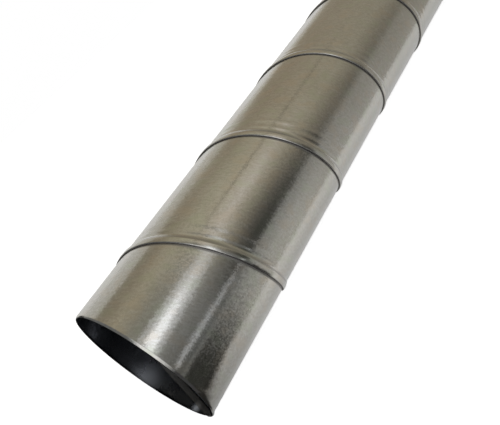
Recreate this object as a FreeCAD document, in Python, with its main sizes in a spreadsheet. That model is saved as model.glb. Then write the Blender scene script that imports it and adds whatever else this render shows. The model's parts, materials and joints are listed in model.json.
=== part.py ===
"""A length of round spiral duct: one strip of galvanised sheet wound into a tube and locked to itself.

Millimetres, +Z up. The duct lies on the floor with its axis along +X, and its near end, the one that
faces the viewer, is at -X. The origin is on the floor under the middle of the duct.

The body is drawn in its own frame, with the duct's axis along +Z from the near end, and then laid down.
"""
import FreeCAD, Part
import os

import Sketcher

SIZES = {
    "bore_diameter": 125.0,  # inside diameter, the nominal size that such duct is sold by
    "sheet_thickness": 0.5,
    "duct_length": 1000.0,
    "seam_pitch": 121.0,  # distance along the duct from one turn of the seam to the next
    "seam_width": 6.5,  # flat band of the lock seam, from its folded edge to its rising bend
    "near_seam": 82.0,  # from the near end to the seam's folded edge, along the top of the duct
    "plies_proud": 3.0,  # plies of the four-ply seam that stand outside the wall
}
NODE = "spiral_duct"

# The radii of the duct, and the folds of its seam, as formulas of the sheet of sizes.
PLY = "Sizes.sheet_thickness"
INSIDE = "Sizes.bore_diameter / 2"
OUTSIDE = f"({INSIDE} + {PLY})"
MID_WALL = f"({INSIDE} + {PLY} / 2)"
PROUD = f"Sizes.plies_proud * {PLY}"
CREST = f"({OUTSIDE} + {PROUD})"
FOLD_ROUND = f"0.3 * {PROUD}"  # height over which each side of the fold is rounded
FOLD_UNDERCUT = f"1.2 * {PLY}"  # how far the fold's foot lies back under its edge
FOOT_CLEARANCE = f"0.2 * {PLY}"  # crack between the fold and the wall that it lies on
BEND_ROUND = f"0.4 * {PLY}"  # height over which the bend is rounded at its top
BEND_FOOT = f"(Sizes.seam_width + {PROUD} - {BEND_ROUND})"  # where the rising bend meets the wall
SEAM_SPAN = f"(Sizes.seam_width + {PROUD} + {PLY})"
SPARE = "Sizes.seam_pitch"  # wound past each end, and cut off

# The seam's coil starts a whole number of turns before the near end, below the cut.
TURNS_BEFORE = f"ceil((Sizes.near_seam + {SEAM_SPAN}) / Sizes.seam_pitch)"
COIL_START = f"(Sizes.near_seam - Sizes.seam_pitch * {TURNS_BEFORE})"
COIL_HEIGHT = f"(Sizes.duct_length - {COIL_START} + {SEAM_SPAN})"


def make_sheet(doc):
    """Puts every driving size into a cell of its own, named by its alias."""
    sheet = doc.addObject("Spreadsheet::Sheet", "Sizes")
    for row, (name, value) in enumerate(SIZES.items(), start=1):
        sheet.set(f"A{row}", name)
        sheet.set(f"B{row}", str(value))
        sheet.setAlias(f"B{row}", name)
    doc.recompute()


def new_sketch(body, name, role, shift=None):
    """A sketch on one of the body's origin planes, moved along by (axis, formula) where shift is given."""
    plane = next(feature for feature in body.Origin.OriginFeatures if feature.Role == role)
    sketch = body.newObject("Sketcher::SketchObject", name)
    sketch.AttachmentSupport = (plane, [""])
    sketch.MapMode = "FlatFace"
    if shift:
        axis, formula = shift
        sketch.setExpression(f".AttachmentOffset.Base.{axis}", formula)
    return sketch


def draw_circle(sketch, radius):
    """A circle about the duct's axis, its radius tied to a formula."""
    size = float(sketch.evalExpression(radius))
    circle = sketch.addGeometry(Part.Circle(FreeCAD.Vector(0, 0, 0), FreeCAD.Vector(0, 0, 1), size))
    sketch.addConstraint(Sketcher.Constraint("Coincident", circle, 3, -1, 1))
    tie = sketch.addConstraint(Sketcher.Constraint("Radius", circle, size))
    sketch.setExpression(f"Constraints[{tie}]", radius)


def draw_outline(sketch, corners):
    """A closed outline, each corner tied to its (radius, distance along the duct) formulas."""
    points = [FreeCAD.Vector(*(float(sketch.evalExpression(f)) for f in corner), 0) for corner in corners]
    count = len(points)
    for index, start in enumerate(points):
        sketch.addGeometry(Part.LineSegment(start, points[(index + 1) % count]))
    for index, (corner, point) in enumerate(zip(corners, points)):
        sketch.addConstraint(Sketcher.Constraint("Coincident", index, 2, (index + 1) % count, 1))
        for kind, formula, size in zip(("DistanceX", "DistanceY"), corner, point):
            tie = sketch.addConstraint(Sketcher.Constraint(kind, -1, 1, index, 1, size))
            sketch.setExpression(f"Constraints[{tie}]", formula)


def add_wall(body):
    """The plain wall, wound longer than the duct at both ends."""
    sketch = new_sketch(body, "wall_section", "XY_Plane", ("z", f"-{SPARE}"))
    draw_circle(sketch, INSIDE)
    draw_circle(sketch, OUTSIDE)
    wall = body.newObject("PartDesign::Pad", "wall")
    wall.Profile = sketch
    wall.setExpression("Length", f"Sizes.duct_length + 2 * {SPARE}")


def coil(body, kind, name, sketch):
    """Sweeps a section round the duct as a right-handed coil with the seam's pitch."""
    feature = body.newObject(kind, name)
    feature.Profile = sketch
    feature.ReferenceAxis = (sketch, ["V_Axis"])
    feature.Mode = "pitch-height-angle"
    feature.setExpression("Pitch", "Sizes.seam_pitch")
    feature.setExpression("Height", COIL_HEIGHT)


def add_seam(body):
    """The folded band of the lock seam, standing proud of the wall.

    Its near edge is the top ply's fold, round and undercut where it lies on the wall, so it shows as a
    crack. Its far edge is the bend where the next turn of the strip rises over the folds.
    """
    sketch = new_sketch(body, "seam_section", "XZ_Plane", ("y", COIL_START))
    draw_outline(sketch, (
        (MID_WALL, FOLD_UNDERCUT),
        (f"{OUTSIDE} + {FOOT_CLEARANCE}", FOLD_UNDERCUT),
        (f"{OUTSIDE} + {FOLD_ROUND}", "0"),
        (f"{CREST} - {FOLD_ROUND}", "0"),
        (CREST, PLY),
        (CREST, f"Sizes.seam_width - {PLY}"),
        (f"{CREST} - {BEND_ROUND}", "Sizes.seam_width"),
        (MID_WALL, f"{BEND_FOOT} + {PLY} / 2"),
    ))
    coil(body, "PartDesign::AdditiveHelix", "seam", sketch)


def add_inside_groove(body):
    """The narrow groove that the seam leaves inside, one ply deep, under the rising bend.

    Its far side lies one ply under the bend's outer face, which rises at 45 degrees.
    """
    sketch = new_sketch(body, "groove_section", "XZ_Plane", ("y", COIL_START))
    fold_edge = f"{BEND_FOOT} - sqrt(2) * {PLY}"
    draw_outline(sketch, (
        (f"{INSIDE} - {PLY}", fold_edge),
        (f"{INSIDE} - {PLY}", f"{fold_edge} + 2 * {PLY}"),
        (f"{INSIDE} + {PLY}", fold_edge),
    ))
    coil(body, "PartDesign::SubtractiveHelix", "inside_groove", sketch)


def cut_end(body, name, place, away):
    """Cuts the wound tube square across at a distance along it, and takes away what lies past the cut."""
    sketch = new_sketch(body, f"{name}_section", "XY_Plane", ("z", place))
    draw_circle(sketch, f"2 * {CREST}")
    cut = body.newObject("PartDesign::Pocket", name)
    cut.Profile = sketch
    cut.Type = "ThroughAll"
    cut.Reversed = away


def lay_down(body):
    """Lays the duct along +X, centred over the origin, with its seam's crest on the floor."""
    top_stays_up = FreeCAD.Rotation(FreeCAD.Vector(1, 0, 1), 180)
    body.Placement = FreeCAD.Placement(FreeCAD.Vector(0, 0, 0), top_stays_up)
    body.setExpression(".Placement.Base.x", "-Sizes.duct_length / 2")
    body.setExpression(".Placement.Base.z", CREST)


def check(doc, body):
    """Stops before anything is written if a feature failed or the duct isn't one sound solid."""
    for item in doc.Objects:
        if {"Invalid", "Error"} & set(item.State):
            raise RuntimeError(f"{item.Name} failed: {item.State}")
    shape = body.Shape
    if shape.isNull() or not shape.isValid() or len(shape.Solids) != 1:
        raise RuntimeError("the duct isn't one sound solid")
    length = shape.optimalBoundingBox(False).XLength
    if abs(length - doc.Sizes.duct_length) > doc.Sizes.sheet_thickness:
        raise RuntimeError(f"the duct's ends aren't cut: it is {length:.1f} long")


def main():
    doc = FreeCAD.newDocument("SpiralDuct")
    make_sheet(doc)
    body = doc.addObject("PartDesign::Body", NODE)
    body.Label = NODE
    add_wall(body)
    doc.recompute()
    add_seam(body)
    doc.recompute()
    add_inside_groove(body)
    doc.recompute()
    cut_end(body, "near_end_cut", "0", away=False)
    doc.recompute()
    cut_end(body, "far_end_cut", "Sizes.duct_length", away=True)
    lay_down(body)
    doc.recompute()
    check(doc, body)
    os.makedirs("parts", exist_ok=True)
    body.Shape.exportStep(os.path.join("parts", f"{NODE}.step"))
    box = body.Shape.optimalBoundingBox(False)
    sides = " x ".join(f"{side:.2f}" for side in (box.XLength, box.YLength, box.ZLength))
    print(f"{NODE}: volume {body.Shape.Volume:.0f} mm3, box {sides}")


main()
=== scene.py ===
"""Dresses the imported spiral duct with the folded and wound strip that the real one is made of.

Metres, +Z up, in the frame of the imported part: the duct lies along +X, its near end at -X. One galvanised
strip is drawn as a section with both folds of its lock seam, wound round the duct's axis, given its
thickness and cut at both ends, the far end square and the near end a little out of square.
"""
import json
import math

import bpy
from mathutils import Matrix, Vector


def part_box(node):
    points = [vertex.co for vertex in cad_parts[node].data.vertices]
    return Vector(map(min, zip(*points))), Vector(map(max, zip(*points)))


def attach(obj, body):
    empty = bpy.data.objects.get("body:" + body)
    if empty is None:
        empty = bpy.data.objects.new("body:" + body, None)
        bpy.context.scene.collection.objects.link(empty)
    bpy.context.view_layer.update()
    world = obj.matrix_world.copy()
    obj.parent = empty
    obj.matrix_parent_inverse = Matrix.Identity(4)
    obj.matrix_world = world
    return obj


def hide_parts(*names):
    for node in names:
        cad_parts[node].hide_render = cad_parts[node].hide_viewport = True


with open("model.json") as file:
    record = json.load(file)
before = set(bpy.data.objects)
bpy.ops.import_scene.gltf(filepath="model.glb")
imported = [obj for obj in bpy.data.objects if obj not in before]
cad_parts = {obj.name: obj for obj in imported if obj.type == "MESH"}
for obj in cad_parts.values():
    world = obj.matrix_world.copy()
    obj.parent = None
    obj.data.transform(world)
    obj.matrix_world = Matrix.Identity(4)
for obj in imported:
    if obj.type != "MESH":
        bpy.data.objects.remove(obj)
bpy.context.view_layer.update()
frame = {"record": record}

MM = 0.001
DUCT = "spiral_duct"

# The duct's own sizes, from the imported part.
LOW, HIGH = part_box(DUCT)
NEAR_END, FAR_END = LOW.x, HIGH.x
AXIS_HEIGHT = (LOW.z + HIGH.z) / 2
CREST_RADIUS = (HIGH.z - LOW.z) / 2
BORE_RADIUS = frame["record"]["mounts"][0]["dims"]["r_mm"] * MM
PLIES = 4
PLY = (CREST_RADIUS - BORE_RADIUS) / PLIES

# The winding of the seam, as it shows in the photograph. It runs on past both ends, and is cut off there.
PITCH = 121 * MM
NEAR_SEAM = 82 * MM
TURNS_BEFORE_NEAR_END = 2
TURNS = TURNS_BEFORE_NEAR_END + math.ceil((FAR_END - NEAR_END) / PITCH)
STEPS_PER_TURN = 84

# The folded section of the strip, measured along the duct from the crack of the seam.
SHEET = 0.44 * MM  # a little thinner than a ply, so that the plies lie clear of each other
NOSE = 0.25 * MM  # from the crack to the middle of the sheet where it folds
NOSE_ARCS = ((120, 0.333 * MM, 5), (54, 0.80 * MM, 6))  # an arc is (degrees, radius, steps)
UNDER_PLY_END = 3.5 * MM
CREST_ARC = (12, 19 * MM, 4)
BEND_ANGLE = 20
BEND_RADIUS = 2.0 * MM
BEND_STEPS = 4
FOOT_RADIUS = 6 * MM
FOOT_STEPS = 6
LOCK_FOLD = 3.4 * MM  # behind the next turn's crack, where the edge that is locked into it folds back
LOCK_ARC = (-180, PLY, 8)
LOCK_PLY_END = 1.2 * MM
FLAT_START = 26 * MM
FLAT_END = 117 * MM
FLAT_STEPS = 11

# The low ridges that the rollers leave behind the seam: (middle, width, height).
ROLLER_RIDGES = ((13.0 * MM, 4.8 * MM, 0.15 * MM), (21.0 * MM, 6.4 * MM, 0.14 * MM))
RIDGE_STEPS = 4

# The waves that rolling leaves in the flat of the strip.
WAVE_HEIGHT = 0.12 * MM
WAVE_LENGTH = 45 * MM

# The near end, cut a little out of square, with its edge turned in to a narrow lip by the cutter.
NEAR_CUT_SLANT = 0.036  # the left side stops short of the right side by this part of the width
LIP_REACH = 2.2 * MM
LIP_DEPTH = 0.7 * MM
LIP_LOOPS = 4
LIP_STEPS = 20

# How finely the mesh is joined, cut and shaded.
MERGE_DISTANCE = 0.02 * MM
CUT_TOLERANCE = 0.001 * MM
SMOOTH_ANGLE = 40

# In all that follows a fade is (start, end), or (start, end, value at its start, value at its end).

# The zinc's tones, and the shares that its crystals, rolling lines and smudges have in them.
DULL_ZINC = (0.36, 0.347, 0.313)
BRIGHT_ZINC = (0.432, 0.422, 0.394)
CRYSTAL_SHARE = 0.12
LINE_SHARE = 0.58
SMUDGE_SHARE = 0.3
TONE_FADE = (0.36, 0.64)
WARM_TARNISH = (0.42, 0.38, 0.32)
WARM_FADE = (0.5, 0.68, 0.0, 0.5)
GREEN_TARNISH = (0.385, 0.40, 0.33)
GREEN_FADE = (0.5, 0.32, 0.0, 0.5)
# Painted shade: the zinc in the bore is darker and a little blue, as the shade inside it.
SHADED_INSIDE_ZINC = (0.25, 0.26, 0.28)

# The zinc's roughness, by the smudges on it.
OUTSIDE_ROUGHNESS = (0.3, 0.7, 0.11, 0.16)
INSIDE_ROUGHNESS = (0.35, 0.65, 0.235, 0.30)
GRIME_AND_SHADE_ROUGHNESS = 0.5

# The zinc's patterns, in real sizes and depths, or in repeats along and across the map of the strip.
CRYSTAL_SIZE = 1.15 * MM
CRYSTAL_TILT = 0.031  # part of the normal's length
SMUDGE_SIZE = 36 * MM
SMUDGE_NOISE = (4.0, 0.55)  # a noise is (detail, roughness)
PEEL_SIZE = 3.2 * MM
PEEL_NOISE = (2.0, 0.6)
PEEL_DEPTH = 0.02 * MM
LINE_REPEATS = (85.0, 60.0, 1.0)
LINE_NOISE = (4.0, 0.6)
LINE_DEPTH = 0.028 * MM
TARNISH_REPEATS = (26.0, 9.0, 1.0)
TARNISH_NOISE = (2.0, 0.5)

# Dirt and painted shade along the seam, darkening it where shade falls: on the wall before its crack, under
# the nose of its fold and down its bend.
CRACK_GRIME_AND_SHADE = (0.235, 0.225, 0.21)
CRACK_WIDTH = 2.3 * MM
NOSE_FRONT = 1.2 * MM
NOSE_PLIES = (4.2, 3.5)  # the heights between which it comes in under the nose, in plies from the wall
BEND_GRIME_AND_SHADE_START = (4.8 * MM, 5.8 * MM)
BEND_GRIME_AND_SHADE_END = (8.0 * MM, 6.6 * MM, 0.0, 0.6)

# Pale dust in the bore, placed as a painted glow where light is reflected there: distance in from the near
# end, angle from straight up, reach, and share.
BORE_DUST_AND_GLOW = (
    (4 * MM, -168, 19 * MM, 0.42),
    (3.4 * MM, 138, 8 * MM, 1.0),
)
DUST_AND_GLOW = (0.51, 0.525, 0.55)

# The studio's floor, with the light and the dark parts that the metal mirrors; the dark parts are painted
# shade.
FLOOR_SIZE = (2.6, 0.64, 1.0)
FLOOR_PAINT = (0.8, 0.8, 0.8)
FLOOR_LIFT = 0.68
FLOOR_RIGHT = (-0.22, -0.085, 0.65, 0.26)
FLOOR_LEFT = (0.10, 0.24, 0.0, 0.36)
FLOOR_EDGE = (-0.32, -0.24, 0.45, 1.0)
FLOOR_AWAY = (-0.35, 0.30, 1.2, 0.8)
# Painted shade on the floor, seen only in the metal: a dark corner on the right, gloom before it and a
# strip in front.
PAINTED_FLOOR_SHADE = (0.06, 0.06, 0.06)
DARK_CORNER_EDGE = (-0.476, -0.162)
DARK_CORNER_AWAY = (-0.886, -0.463)
DARK_CORNER_FADE = (-0.055, 0.03)
DARK_CORNER_GLOOM = (-0.12, -0.01, 0.0, 0.35)
DARK_CORNER_SIDE = (-0.06, -0.14)
DARK_FRONT_FADE = (-0.495, -0.51)
DARK_FRONT_END = (-0.60, -0.56)

# The studio's light, by degrees round the duct from straight up, plus to the right.
LIGHT_ACROSS = (
    (-112, (0.92, 0.92, 0.90)),
    (-84, (0.80, 0.78, 0.72)),
    (-79, (0.46, 0.42, 0.34)),
    (-66, (0.475, 0.42, 0.325)),
    (-45, (0.64, 0.585, 0.455)),
    (-18, (0.45, 0.44, 0.385)),
    (18, (0.43, 0.43, 0.42)),
    (32, (0.36, 0.365, 0.36)),
    (60, (0.20, 0.205, 0.205)),
    (65, (0.17, 0.18, 0.18)),
    (72, (0.44, 0.445, 0.445)),
    (95, (0.59, 0.595, 0.59)),
    (108, (0.80, 0.79, 0.76)),
)
LIGHT_SLANTING = (
    (-112, (0.88, 0.87, 0.82)),
    (-90, (0.74, 0.71, 0.63)),
    (-84, (0.56, 0.51, 0.41)),
    (-68, (0.53, 0.47, 0.365)),
    (-43, (0.68, 0.64, 0.50)),
    (-24, (0.78, 0.72, 0.58)),
    (-4, (1.0, 0.94, 0.86)),
    (9, (0.66, 0.61, 0.51)),
    (22, (0.40, 0.375, 0.31)),
    (35, (0.20, 0.19, 0.17)),
    (48, (0.095, 0.095, 0.088)),
    (56, (0.105, 0.105, 0.10)),
    (63, (0.44, 0.445, 0.44)),
    (87, (0.70, 0.70, 0.68)),
    (112, (0.76, 0.75, 0.71)),
)
LIGHT_FAR = (
    (-112, (0.86, 0.84, 0.79)),
    (-101, (0.78, 0.74, 0.66)),
    (-96, (0.49, 0.43, 0.33)),
    (-70, (0.52, 0.445, 0.34)),
    (-24, (0.61, 0.55, 0.43)),
    (12, (0.58, 0.54, 0.43)),
    (40, (0.33, 0.30, 0.25)),
    (50, (0.28, 0.27, 0.24)),
    (62, (0.50, 0.49, 0.465)),
    (108, (0.63, 0.62, 0.60)),
)
LIGHT_IN_FRONT = (
    (-20, (0.25, 0.26, 0.27)),
    (0, (1.80, 1.83, 1.91)),
    (25, (1.62, 1.65, 1.72)),
    (46, (0.75, 0.77, 0.80)),
    (58, (0.10, 0.10, 0.11)),
)

# How far lengthwise one of these lights gives way to the next, and what else the room has.
SLANT_FADE = (0.30, 0.44)
FAR_FADE = (0.54, 0.68)
FRONT_FADE = (0.0, -0.25)
DARK_GAP = (0.055, 0.056, 0.052)
DARK_GAP_SIDES = (68, 74)
DARK_GAP_TOP = (0.41, 0.205)
THIN_SHADOW = (0.34, 0.31, 0.245)
THIN_SHADOW_SIDE = -24
THIN_SHADOW_FADE = (1.7, 0.6)
THIN_SHADOW_SPAN = ((0.42, 0.48), (0.80, 0.74))
ROOM_END = (0.45, 0.42, 0.35)
ROOM_END_FADE = (0.66, 1.0)
WHITE = (1.0, 1.0, 1.0)

# The lamps, each bright in its middle and dimmer outwards: (length, width), brightness.
LAMP_COLOUR = (0.87, 0.91, 1.0)
LAMP_STEP = 0.01
LONG_LAMP_PLACE = (-0.318, -0.19, 1.08)
LONG_LAMP_TURN = 31
LONG_LAMP_LAYERS = (((0.73, 0.58), 0.42), ((0.54, 0.35), 0.46), ((0.34, 0.22), 1.03))
SLIM_LAMP_PLACE = (-0.19, -0.86, 0.70)
SLIM_LAMP_LEAN = 54
SLIM_LAMP_LAYERS = (((0.44, 0.18), 0.22), ((0.40, 0.09), 0.4))

# The camera, as the photograph was taken.
PHOTO_WIDTH = 500
FOCAL_PIXELS = 507.5
SENSOR_WIDTH = 36.0
CAMERA_PLACE = (-0.5619, -0.1272, 0.4485)
CAMERA_AZIMUTH = -61.52
CAMERA_ELEVATION = 56.01

# The colour sockets of a mix node, by number, because its sockets share their names.
MIX_UNDER, MIX_OVER, MIX_RESULT = 6, 7, 2

# The middle of the crystals' colours, and the kinds of vector math that give a number.
MIDDLE_COLOUR = (0.5, 0.5, 0.5)
NUMBER_RESULTS = ("LENGTH", "DISTANCE", "DOT_PRODUCT")


def ply_radius(number):
    """The middle of a ply of the seam, counted outwards from the wall."""
    return BORE_RADIUS + (number - 0.5) * PLY


class StripPen:
    """Draws the strip's section as a chain of edges, point by point, above the duct's axis.

    Places are (distance along the duct from the seam's crack, radius from the duct's axis).
    """

    def __init__(self, name, start):
        bpy.ops.object.select_all(action="DESELECT")
        bpy.ops.mesh.primitive_plane_add(size=MM, location=(0, 0, AXIS_HEIGHT))
        self.piece = bpy.context.object
        self.piece.name = name
        bpy.ops.object.mode_set(mode="EDIT")
        bpy.ops.mesh.select_all(action="SELECT")
        bpy.ops.mesh.merge(type="CENTER")
        bpy.ops.transform.translate(value=(start[0], 0, start[1]))
        self.place = start
        self.heading = 0.0

    def line_to(self, along, radius):
        step = (along - self.place[0], 0, radius - self.place[1])
        bpy.ops.mesh.extrude_region_move(TRANSFORM_OT_translate={"value": step})
        self.heading = math.atan2(step[2], step[0])
        self.place = (along, radius)

    def turn(self, degrees, radius, steps):
        """Carries the chain on along an arc: plus degrees turn it back over the near side and down."""
        side = math.copysign(radius, degrees)
        along = self.place[0] + side * math.sin(self.heading)
        height = self.place[1] - side * math.cos(self.heading)
        bpy.ops.mesh.spin(
            steps=steps,
            angle=math.radians(abs(degrees)),
            center=(along, 0, AXIS_HEIGHT + height),
            axis=(0, math.copysign(1, -degrees), 0),
        )
        self.heading -= math.radians(degrees)
        self.place = (along - side * math.sin(self.heading), height + side * math.cos(self.heading))

    def finish(self):
        bpy.ops.object.mode_set(mode="OBJECT")
        return self.piece


def draw_crest(pen, wall):
    """Draws the fold's nose, the crest, and the bend that comes down from it to the wall."""
    for arc in NOSE_ARCS:
        pen.turn(*arc)
    pen.turn(*CREST_ARC)
    slope = math.radians(BEND_ANGLE)
    pen.turn(BEND_ANGLE + math.degrees(pen.heading), BEND_RADIUS, BEND_STEPS)
    drop = pen.place[1] - wall - FOOT_RADIUS * (1 - math.cos(slope))
    pen.line_to(pen.place[0] + drop / math.tan(slope), pen.place[1] - drop)
    pen.turn(-BEND_ANGLE, FOOT_RADIUS, FOOT_STEPS)


def draw_ridges(pen, wall):
    """Draws the low round ridges behind the seam."""
    for middle, width, height in ROLLER_RIDGES:
        for step in range(RIDGE_STEPS + 1):
            part = step / RIDGE_STEPS
            rise = height * math.sin(math.pi * part) ** 2
            pen.line_to(middle + (part - 0.5) * width, wall + rise)


def draw_strip_section():
    """The strip from the edge folded under the crest to the edge that is locked into the next turn."""
    wall, second, third = (ply_radius(number) for number in range(1, PLIES))
    pen = StripPen("duct_strip", (UNDER_PLY_END, second))
    first_nose_radius = NOSE_ARCS[0][1]
    pen.line_to(NOSE + first_nose_radius, second)
    draw_crest(pen, wall)
    draw_ridges(pen, wall)
    for step in range(FLAT_STEPS + 1):
        pen.line_to(FLAT_START + (FLAT_END - FLAT_START) * step / FLAT_STEPS, wall)
    pen.line_to(PITCH + LOCK_FOLD, wall)
    pen.turn(*LOCK_ARC)
    pen.line_to(PITCH + LOCK_PLY_END, third)
    return pen.finish()


def apply_modifier(piece, kind, name, **settings):
    modifier = piece.modifiers.new(name, kind)
    for setting, value in settings.items():
        setattr(modifier, setting, value)
    bpy.ops.object.modifier_apply(modifier=name)


def mark_flat(piece):
    """Puts the flat of the strip, away from its folds, into a group of its own."""
    group = piece.vertex_groups.new(name="flat")
    flat = [point.index for point in piece.data.vertices if FLAT_START < point.co.x < FLAT_END]
    group.add(flat, 1.0, "REPLACE")


def wind(piece):
    """Winds the section round the duct's axis, from a whole number of turns before the near end."""
    apply_modifier(
        piece, "SCREW", "winding",
        axis="X", angle=2 * math.pi, screw_offset=PITCH, iterations=TURNS,
        steps=STEPS_PER_TURN, render_steps=STEPS_PER_TURN,
        use_stretch_u=True, use_stretch_v=True,
    )
    piece.location.x = NEAR_END + NEAR_SEAM - TURNS_BEFORE_NEAR_END * PITCH
    bpy.ops.object.transform_apply(location=True, rotation=True, scale=True)
    bpy.ops.object.mode_set(mode="EDIT")
    bpy.ops.mesh.select_all(action="SELECT")
    bpy.ops.mesh.remove_doubles(threshold=MERGE_DISTANCE)
    bpy.ops.mesh.normals_make_consistent(inside=False)
    bpy.ops.object.mode_set(mode="OBJECT")


def wave_flat(piece):
    """Gives the flat of the strip the low waves that show in its reflections."""
    waves = bpy.data.textures.new("rolled waves", "CLOUDS")
    waves.noise_scale = WAVE_LENGTH
    waves.noise_depth = 1
    apply_modifier(
        piece, "DISPLACE", "waves",
        texture=waves, texture_coords="LOCAL", vertex_group="flat", strength=WAVE_HEIGHT, mid_level=0.5,
    )


def cut_across(place, slant=0.0, clear_before=False, clear_after=False):
    """Cuts the mesh across the duct, and closes the cut where a side is taken away.

    The place is where the cut meets the right side. The slant is how far it goes back towards the left.
    """
    bpy.ops.mesh.select_all(action="SELECT")
    bpy.ops.mesh.bisect(
        plane_co=(place, -CREST_RADIUS, 0), plane_no=(1, -slant, 0),
        use_fill=clear_before or clear_after, clear_inner=clear_before, clear_outer=clear_after,
        threshold=CUT_TOLERANCE,
    )


def close_cut_folds():
    """Closes the folds of the seam that a cut has left open."""
    bpy.ops.mesh.select_all(action="SELECT")
    bpy.ops.mesh.fill_holes(sides=0)


def select_before(piece, place, slant):
    """Selects the points of the mesh that lie before a cut across the duct."""
    bpy.ops.mesh.select_mode(type="VERT")
    bpy.ops.mesh.select_all(action="DESELECT")
    bpy.ops.object.mode_set(mode="OBJECT")
    for point in piece.data.vertices:
        point.select = point.co.x < place + slant * (point.co.y + CREST_RADIUS)
    bpy.ops.object.mode_set(mode="EDIT")


def turn_in_lip(piece):
    """Draws the near end's last millimetres in towards the bore, more and more up to the edge."""
    for loop in range(LIP_LOOPS):
        cut_across(NEAR_END + LIP_REACH * (1 - loop / LIP_LOOPS), NEAR_CUT_SLANT)
    for step in range(LIP_STEPS):
        select_before(piece, NEAR_END + LIP_REACH * (1 - step / LIP_STEPS), NEAR_CUT_SLANT)
        deeper = LIP_DEPTH * (2 * step + 1) / LIP_STEPS ** 2
        shrink = 1 - deeper / BORE_RADIUS
        bpy.ops.transform.resize(value=(1, shrink, shrink), center_override=(NEAR_END, 0, AXIS_HEIGHT))


def make_duct():
    """Makes the wound strip, and gives it with the first and last place along its section."""
    piece = draw_strip_section()
    places = [point.co.x for point in piece.data.vertices]
    section = (min(places), max(places))
    mark_flat(piece)
    wind(piece)
    wave_flat(piece)
    apply_modifier(piece, "SOLIDIFY", "sheet", thickness=SHEET, offset=0.0, use_even_offset=True)
    bpy.ops.object.mode_set(mode="EDIT")
    cut_across(NEAR_END, NEAR_CUT_SLANT, clear_before=True)
    cut_across(FAR_END, clear_after=True)
    close_cut_folds()
    turn_in_lip(piece)
    bpy.ops.object.mode_set(mode="OBJECT")
    bpy.ops.object.shade_smooth_by_angle(angle=math.radians(SMOOTH_ANGLE))
    return piece, section


def add_node(tree, kind, label, **settings):
    node = tree.nodes.new(kind)
    node.label = label
    for setting, value in settings.items():
        setattr(node, setting, value)
    return node


def set_inputs(node, **values):
    for name, value in values.items():
        node.inputs[name.replace("_", " ")].default_value = value


def link(tree, source, target):
    tree.links.new(source, target)


def feed(tree, value, target):
    """Gives a socket its value: another socket, or a plain number, vector or colour."""
    if isinstance(value, bpy.types.NodeSocket):
        link(tree, value, target)
    else:
        target.default_value = value


def add_math(tree, label, operation, *values):
    """Works out a number from one or two others, each a socket or a plain value."""
    node = add_node(tree, "ShaderNodeMath", label, operation=operation)
    for value, socket in zip(values, node.inputs):
        feed(tree, value, socket)
    return node.outputs["Value"]


def add_vector_math(tree, label, operation, *values):
    """Works out a vector or a number from one or two vectors, each a socket or a plain value."""
    node = add_node(tree, "ShaderNodeVectorMath", label, operation=operation)
    for value, socket in zip(values, node.inputs):
        feed(tree, value, socket)
    return node.outputs["Value" if operation in NUMBER_RESULTS else "Vector"]


def add_fade(tree, label, value, start, end, low=0.0, high=1.0):
    """Goes softly from low to high as a value goes from start to end."""
    node = add_node(tree, "ShaderNodeMapRange", label, interpolation_type="SMOOTHSTEP")
    set_inputs(node, From_Min=start, From_Max=end, To_Min=low, To_Max=high)
    link(tree, value, node.inputs["Value"])
    return node.outputs["Result"]


def add_noise(tree, label, vector, scale, detail, roughness):
    node = add_node(tree, "ShaderNodeTexNoise", label)
    set_inputs(node, Scale=scale, Detail=detail, Roughness=roughness)
    link(tree, vector, node.inputs["Vector"])
    return node.outputs["Fac"]


def add_strip_noise(tree, label, strip_map, repeats, detail, roughness):
    """Noise that is drawn out along the strip."""
    along_strip = add_node(tree, "ShaderNodeMapping", f"{label} along the strip")
    set_inputs(along_strip, Scale=repeats)
    link(tree, strip_map, along_strip.inputs["Vector"])
    return add_noise(tree, label, along_strip.outputs["Vector"], 1.0, detail, roughness)


def add_tint(tree, label, amount, under, over):
    """Lays one colour over another, each a socket or a plain colour."""
    node = add_node(tree, "ShaderNodeMix", label, data_type="RGBA")
    link(tree, amount, node.inputs[0])
    for colour, socket in ((under, MIX_UNDER), (over, MIX_OVER)):
        feed(tree, (*colour, 1) if isinstance(colour, tuple) else colour, node.inputs[socket])
    return node.outputs[MIX_RESULT]


def add_behind_crack(tree, strip_map, section):
    """The distance along the duct behind the seam's crack, from the map of the strip."""
    sides = add_node(tree, "ShaderNodeSeparateXYZ", "sides of the strip map")
    link(tree, strip_map, sides.inputs["Vector"])
    across = add_node(tree, "ShaderNodeMapRange", "distance behind the crack", clamp=False)
    first, last = section
    set_inputs(across, To_Min=first, To_Max=last)
    link(tree, sides.outputs["Y"], across.inputs["Value"])
    return across.outputs["Result"]


def add_from_axis(tree, on_duct):
    """The way straight out from the duct's axis to a place on the duct."""
    from_axis = add_node(tree, "ShaderNodeMapping", "from the duct's axis")
    set_inputs(from_axis, Location=(0, 0, -AXIS_HEIGHT), Scale=(0, 1, 1))
    link(tree, on_duct, from_axis.inputs["Vector"])
    return from_axis.outputs["Vector"]


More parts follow.
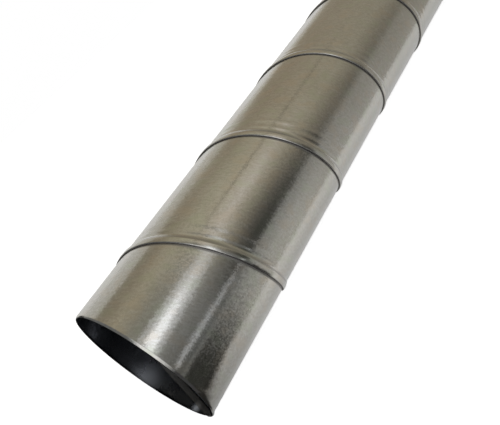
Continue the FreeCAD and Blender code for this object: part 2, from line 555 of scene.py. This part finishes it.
def add_grime_and_shade(tree, behind, from_axis):
    """One for dirt and painted shade in the crack of the seam, on the wall and under the fold's nose, and
    less on the bend.
    """
    on_wall = add_fade(tree, "wall before the fold", behind, PITCH - CRACK_WIDTH, PITCH - CRACK_WIDTH / 2)
    radius = add_vector_math(tree, "radius", "LENGTH", from_axis)
    low = add_fade(tree, "under the nose", radius, *(ply_radius(number) for number in NOSE_PLIES))
    in_front = add_fade(tree, "front of the nose", behind, NOSE_FRONT, NOSE_FRONT / 2)
    under_nose = add_math(tree, "front and under", "MULTIPLY", low, in_front)
    in_crack = add_math(tree, "grime in the crack", "MAXIMUM", on_wall, under_nose)
    start = add_fade(tree, "down the bend", behind, *BEND_GRIME_AND_SHADE_START)
    end = add_fade(tree, "past the bend", behind, *BEND_GRIME_AND_SHADE_END)
    on_bend = add_math(tree, "grime on the bend", "MULTIPLY", start, end)
    return add_math(tree, "all grime", "MAXIMUM", in_crack, on_bend)


def add_inside(tree, from_axis):
    """One where the sheet faces the duct's axis."""
    surface = add_node(tree, "ShaderNodeNewGeometry", "surface")
    outwards = add_vector_math(tree, "outwards", "DOT_PRODUCT", from_axis, surface.outputs["Normal"])
    return add_fade(tree, "inside of the wall", outwards, 0.0, -BORE_RADIUS / 2)


def add_bore_dust_and_glow(tree, on_duct, inside):
    """One where pale dust lies in the bore, in soft patches near its end, that also paint the glow of light
    reflected there.
    """
    dust_and_glow = 0.0
    for depth, degrees, reach, share in BORE_DUST_AND_GLOW:
        rightwards = BORE_RADIUS * math.sin(math.radians(degrees))
        upwards = BORE_RADIUS * math.cos(math.radians(degrees))
        middle = (NEAR_END + depth, -rightwards, AXIS_HEIGHT + upwards)
        away = add_vector_math(tree, "away from the patch", "DISTANCE", on_duct, middle)
        patch = add_fade(tree, "patch of dust", away, reach, 0.0, 0.0, share)
        dust_and_glow = add_math(tree, "all patches", "MAXIMUM", dust_and_glow, patch)
    return add_math(tree, "dust inside", "MULTIPLY", dust_and_glow, inside)


def add_crystals(tree, on_duct):
    """The zinc's crystals: a tone for each, and the normal tilted a little another way on each."""
    crystals = add_node(tree, "ShaderNodeTexVoronoi", "zinc crystals")
    set_inputs(crystals, Scale=1 / CRYSTAL_SIZE)
    link(tree, on_duct, crystals.inputs["Vector"])
    centred = add_vector_math(tree, "centred", "SUBTRACT", crystals.outputs["Color"], MIDDLE_COLOUR)
    tilt = add_vector_math(tree, "tilt", "MULTIPLY", centred, (CRYSTAL_TILT, CRYSTAL_TILT, CRYSTAL_TILT))
    surface = add_node(tree, "ShaderNodeNewGeometry", "surface")
    tilted = add_vector_math(tree, "tilted surface", "ADD", surface.outputs["Normal"], tilt)
    tones = add_node(tree, "ShaderNodeSeparateColor", "crystal tones")
    link(tree, crystals.outputs["Color"], tones.inputs["Color"])
    return tones.outputs["Red"], add_vector_math(tree, "crystal faces", "NORMALIZE", tilted)


def add_zinc(tree, crystal_tone, lines, smudges, tarnish):
    """The colour of the zinc, from dull to bright, with warm and green tarnish over it."""
    tones = 0.0
    for value, share in ((crystal_tone, CRYSTAL_SHARE), (lines, LINE_SHARE), (smudges, SMUDGE_SHARE)):
        tones = add_math(tree, "tones", "ADD", tones, add_math(tree, "share", "MULTIPLY", value, share))
    zinc = add_tint(tree, "zinc", add_fade(tree, "zinc tones", tones, *TONE_FADE), DULL_ZINC, BRIGHT_ZINC)
    for colour, fade in ((WARM_TARNISH, WARM_FADE), (GREEN_TARNISH, GREEN_FADE)):
        zinc = add_tint(tree, "tarnished zinc", add_fade(tree, "tarnish", tarnish, *fade), zinc, colour)
    return zinc


def add_roughness(tree, smudges, inside, grime_and_shade):
    """The sheet's roughness: glossy outside, duller inside, and dullest under the seam's dirt and painted
    shade.
    """
    outside_sheet = add_fade(tree, "outside", smudges, *OUTSIDE_ROUGHNESS)
    inside_sheet = add_fade(tree, "inside", smudges, *INSIDE_ROUGHNESS)
    dull_inside = add_math(tree, "dull inside", "MULTIPLY", inside, inside_sheet)
    dull_grime_and_shade = add_math(tree, "dull grime", "MULTIPLY", grime_and_shade, GRIME_AND_SHADE_ROUGHNESS)
    sheet = add_math(tree, "inside and outside", "MAXIMUM", outside_sheet, dull_inside)
    return add_math(tree, "roughness", "MAXIMUM", sheet, dull_grime_and_shade)


def add_relief(tree, label, height, depth, normal):
    node = add_node(tree, "ShaderNodeBump", label)
    set_inputs(node, Strength=1.0, Distance=depth)
    link(tree, height, node.inputs["Height"])
    link(tree, normal, node.inputs["Normal"])
    return node.outputs["Normal"]


def make_galvanised(section):
    """Dull zinc on rolled sheet: small crystals, rolling lines along the strip and a few soft smudges."""
    material = bpy.data.materials.new("galvanised_sheet")
    material.use_nodes = True
    tree = material.node_tree
    shader = tree.nodes["Principled BSDF"]
    place = add_node(tree, "ShaderNodeTexCoord", "place on the duct")
    on_duct = place.outputs["Object"]
    strip_map = place.outputs["UV"]

    smudges = add_noise(tree, "smudges", on_duct, 1 / SMUDGE_SIZE, *SMUDGE_NOISE)
    peel = add_noise(tree, "orange peel", on_duct, 1 / PEEL_SIZE, *PEEL_NOISE)
    lines = add_strip_noise(tree, "rolling lines", strip_map, LINE_REPEATS, *LINE_NOISE)
    tarnish = add_strip_noise(tree, "tarnish", strip_map, TARNISH_REPEATS, *TARNISH_NOISE)
    crystal_tone, crystal_faces = add_crystals(tree, on_duct)
    from_axis = add_from_axis(tree, on_duct)
    # The seam's darkening is dirt with painted shade in its crack, under its nose and down its bend.
    grime_and_shade = add_grime_and_shade(tree, add_behind_crack(tree, strip_map, section), from_axis)
    inside = add_inside(tree, from_axis)
    # The dust's pale patches also stand in for reflected light in the bore: a painted glow.
    dust_and_glow = add_bore_dust_and_glow(tree, on_duct, inside)

    colour = add_zinc(tree, crystal_tone, lines, smudges, tarnish)
    # Over the zinc go painted shade in the bore, pale dust that is also a painted glow, and dirt with
    # painted shade along the seam.
    for amount, over in ((inside, SHADED_INSIDE_ZINC), (dust_and_glow, DUST_AND_GLOW), (grime_and_shade, CRACK_GRIME_AND_SHADE)):
        colour = add_tint(tree, "over the zinc", amount, colour, over)
    link(tree, colour, shader.inputs["Base Color"])
    link(tree, add_math(tree, "bare metal", "SUBTRACT", 1.0, dust_and_glow), shader.inputs["Metallic"])
    link(tree, add_roughness(tree, smudges, inside, grime_and_shade), shader.inputs["Roughness"])

    peeled = add_relief(tree, "orange peel relief", peel, PEEL_DEPTH, crystal_faces)
    lined = add_relief(tree, "rolling line relief", lines, LINE_DEPTH, peeled)
    link(tree, lined, shader.inputs["Normal"])
    return material


def add_painted_floor_shade(tree, on_floor, lengthwise, sideways):
    """One on the floor's painted shade, which the metal mirrors: a corner on the right, gloom before it,
    and a strip in front.
    """
    beyond = add_vector_math(tree, "towards the corner", "DOT_PRODUCT", on_floor, (*DARK_CORNER_AWAY, 0))
    edge = sum(start * away for start, away in zip(DARK_CORNER_EDGE, DARK_CORNER_AWAY))
    past_edge = add_math(tree, "past the edge", "SUBTRACT", beyond, edge)
    corner = add_fade(tree, "dark corner", past_edge, *DARK_CORNER_FADE)
    on_right = add_fade(tree, "right side", sideways, *DARK_CORNER_SIDE)
    right_corner = add_math(tree, "dark right corner", "MULTIPLY", corner, on_right)
    front = add_fade(tree, "dark in front", lengthwise, *DARK_FRONT_FADE)
    front_end = add_fade(tree, "as far as", lengthwise, *DARK_FRONT_END)
    near_front = add_math(tree, "dark near the end", "MULTIPLY", front, front_end)
    darkest = add_math(tree, "corner or front", "MAXIMUM", right_corner, near_front)
    gloom = add_fade(tree, "gloom before the corner", past_edge, *DARK_CORNER_GLOOM)
    return add_math(tree, "dark floor", "MAXIMUM", darkest, gloom)


def add_floor_light(tree, lengthwise, sideways):
    """How bright the metal shows the floor: more to each side, less far away, dim at its right edge."""
    right = add_fade(tree, "light on the right", sideways, *FLOOR_RIGHT)
    away = add_fade(tree, "less far away", lengthwise, *FLOOR_AWAY)
    right_light = add_math(tree, "light on the right side", "MULTIPLY", right, away)
    left = add_fade(tree, "more on the left", sideways, *FLOOR_LEFT)
    side_light = add_math(tree, "light by sides", "ADD", right_light, left)
    edge_light = add_fade(tree, "light by the right edge", sideways, *FLOOR_EDGE)
    return add_math(tree, "faded to the edge", "MULTIPLY", side_light, edge_light)


def make_white_floor():
    """Paint that is white to the camera, keeps the duct's shadow, and has painted shade in parts in the
    metal.
    """
    material = bpy.data.materials.new("white_floor")
    material.use_nodes = True
    tree = material.node_tree
    tree.nodes.remove(tree.nodes["Principled BSDF"])
    paint = add_node(tree, "ShaderNodeBsdfDiffuse", "floor paint")
    lift = add_node(tree, "ShaderNodeEmission", "white to the camera")
    place = add_node(tree, "ShaderNodeTexCoord", "place on the floor")
    on_floor = place.outputs["Object"]
    sides = add_node(tree, "ShaderNodeSeparateXYZ", "sides of the floor")
    link(tree, on_floor, sides.inputs["Vector"])
    lengthwise, sideways = sides.outputs["X"], sides.outputs["Y"]
    ray = add_node(tree, "ShaderNodeLightPath", "kind of ray")
    mirror_rays = (ray.outputs["Is Glossy Ray"], ray.outputs["Is Transmission Ray"])
    mirrored = add_math(tree, "in metal", "MAXIMUM", *mirror_rays)

    painted_floor_shade = add_painted_floor_shade(tree, on_floor, lengthwise, sideways)
    dark = add_math(tree, "dark in metal", "MULTIPLY", painted_floor_shade, mirrored)
    link(tree, add_tint(tree, "floor paint", dark, FLOOR_PAINT, PAINTED_FLOOR_SHADE), paint.inputs["Color"])
    bright = add_math(tree, "not dark in metal", "SUBTRACT", mirrored, dark)
    floor_light = add_floor_light(tree, lengthwise, sideways)
    in_metal = add_math(tree, "light in metal", "MULTIPLY", bright, floor_light)
    seen = add_math(tree, "seen", "MAXIMUM", ray.outputs["Is Camera Ray"], in_metal)
    link(tree, add_math(tree, "lift", "MULTIPLY", seen, FLOOR_LIFT), lift.inputs["Strength"])
    both = add_node(tree, "ShaderNodeAddShader", "floor")
    link(tree, paint.outputs["BSDF"], both.inputs[0])
    link(tree, lift.outputs["Emission"], both.inputs[1])
    link(tree, both.outputs["Shader"], tree.nodes["Material Output"].inputs["Surface"])
    return material


def lay_floor():
    """Lays a plain white sheet under the duct."""
    bpy.ops.object.select_all(action="DESELECT")
    bpy.ops.mesh.primitive_plane_add(size=1.0)
    floor = bpy.context.object
    floor.name = "studio_floor"
    floor.scale = FLOOR_SIZE
    bpy.ops.object.transform_apply(location=True, rotation=True, scale=True)
    floor.data.materials.append(make_white_floor())


def add_directions(tree):
    """Where light comes from: how far lengthwise, and its angle round the duct, also as part of a turn."""
    direction = add_node(tree, "ShaderNodeTexCoord", "direction")
    axes = add_node(tree, "ShaderNodeSeparateXYZ", "axes")
    link(tree, direction.outputs["Generated"], axes.inputs["Vector"])
    rightwards = add_math(tree, "towards the right", "MULTIPLY", axes.outputs["Y"], -1.0)
    angle = add_math(tree, "angle round the duct", "ARCTAN2", rightwards, axes.outputs["Z"])
    turn = add_node(tree, "ShaderNodeMapRange", "part of a turn")
    set_inputs(turn, From_Min=-math.pi, From_Max=math.pi)
    link(tree, angle, turn.inputs["Value"])
    return axes.outputs["X"], angle, turn.outputs["Result"]


def add_sides(tree, label, turn, stops):
    """Light from each side, its stops at angles round the duct from straight up, plus towards the right."""
    node = add_node(tree, "ShaderNodeValToRGB", label)
    elements = node.color_ramp.elements
    elements.remove(elements[-1])
    for index, (degrees, colour) in enumerate(stops):
        position = degrees / 360 + 0.5
        element = elements[0] if index == 0 else elements.new(position)
        element.position = position
        element.color = (*colour, 1)
    link(tree, turn, node.inputs["Fac"])
    return node.outputs["Color"]


def add_dark_gap(tree, angle, lengthwise):
    """One in the dark gap low on the right."""
    side = add_fade(tree, "side of the gap", angle, *(math.radians(side) for side in DARK_GAP_SIDES))
    top = add_fade(tree, "top of the gap", lengthwise, *DARK_GAP_TOP)
    return add_math(tree, "gap", "MULTIPLY", side, top)


def add_thin_shadow(tree, angle, lengthwise):
    """One on a thin line that runs along the room overhead, between its two ends."""
    away = add_math(tree, "away from the line", "SUBTRACT", angle, math.radians(THIN_SHADOW_SIDE))
    either_side = add_math(tree, "on either side", "ABSOLUTE", away)
    line = add_fade(tree, "line", either_side, *(math.radians(side) for side in THIN_SHADOW_FADE))
    for fade in THIN_SHADOW_SPAN:
        within = add_fade(tree, "end of the line", lengthwise, *fade)
        line = add_math(tree, "span", "MULTIPLY", line, within)
    return line


def light_room():
    """Soft light from all round: a warm side, a dark gap and a pale side, and white behind the duct."""
    world = bpy.data.worlds.new("studio")
    bpy.context.scene.world = world
    world.use_nodes = True
    tree = world.node_tree
    lengthwise, angle, turn = add_directions(tree)
    slant = add_fade(tree, "slant", lengthwise, *SLANT_FADE)
    far = add_fade(tree, "far", lengthwise, *FAR_FADE)
    end = add_fade(tree, "end", lengthwise, *ROOM_END_FADE)
    front = add_fade(tree, "front", lengthwise, *FRONT_FADE)
    ray = add_node(tree, "ShaderNodeLightPath", "kind of ray")
    layers = (
        ("dark gap", add_dark_gap(tree, angle, lengthwise), DARK_GAP),
        ("across to slanting", slant, add_sides(tree, "slanting light", turn, LIGHT_SLANTING)),
        ("slanting to far", far, add_sides(tree, "light from far along", turn, LIGHT_FAR)),
        ("thin shadow", add_thin_shadow(tree, angle, lengthwise), THIN_SHADOW),
        ("end of the room", end, ROOM_END),
        ("front of the room", front, add_sides(tree, "light in front", turn, LIGHT_IN_FRONT)),
        ("white behind the duct", ray.outputs["Is Camera Ray"], WHITE),
    )
    light = add_sides(tree, "light across the duct", turn, LIGHT_ACROSS)
    for label, amount, colour in layers:
        light = add_tint(tree, label, amount, light, colour)
    link(tree, light, tree.nodes["Background"].inputs["Color"])


def add_soft_lamp(name, place, turned, size, brightness):
    """A long soft lamp, its long side along its own X, as bright all over as the brightness says."""
    rotation = [math.radians(angle) for angle in turned]
    bpy.ops.object.light_add(type="AREA", location=place, rotation=rotation)
    lamp = bpy.context.object
    lamp.name = name
    lamp.data.color = LAMP_COLOUR
    lamp.data.shape = "ELLIPSE"
    lamp.data.size, lamp.data.size_y = size
    area = math.pi / 4 * size[0] * size[1]
    lamp.data.energy = brightness * math.pi * area


def hang_lamps():
    """Hangs both lamps, each a stack of ellipses that lie one under the other, the smallest lowest."""
    stacks = (
        ("long_lamp", LONG_LAMP_PLACE, (0, 0, LONG_LAMP_TURN), LONG_LAMP_LAYERS),
        ("slim_lamp", SLIM_LAMP_PLACE, (SLIM_LAMP_LEAN, 0, 0), SLIM_LAMP_LAYERS),
    )
    for name, (x, y, z), turned, layers in stacks:
        for number, (size, brightness) in enumerate(layers):
            add_soft_lamp(f"{name}_{number}", (x, y, z - number * LAMP_STEP), turned, size, brightness)


def place_camera():
    bpy.ops.object.camera_add(
        location=CAMERA_PLACE,
        rotation=(math.radians(90 - CAMERA_ELEVATION), 0, math.radians(CAMERA_AZIMUTH)),
    )
    camera = bpy.context.object
    camera.data.sensor_width = SENSOR_WIDTH
    camera.data.lens = SENSOR_WIDTH * FOCAL_PIXELS / PHOTO_WIDTH
    bpy.context.scene.camera = camera


def main():
    bpy.context.scene.view_settings.view_transform = "Standard"
    duct, section = make_duct()
    duct.data.materials.append(make_galvanised(section))
    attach(duct, "root")
    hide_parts(DUCT)
    lay_floor()
    light_room()
    hang_lamps()
    place_camera()
    triangles = sum(len(face.vertices) - 2 for face in duct.data.polygons)
    print(f"{duct.name}: {triangles} triangles")


main()
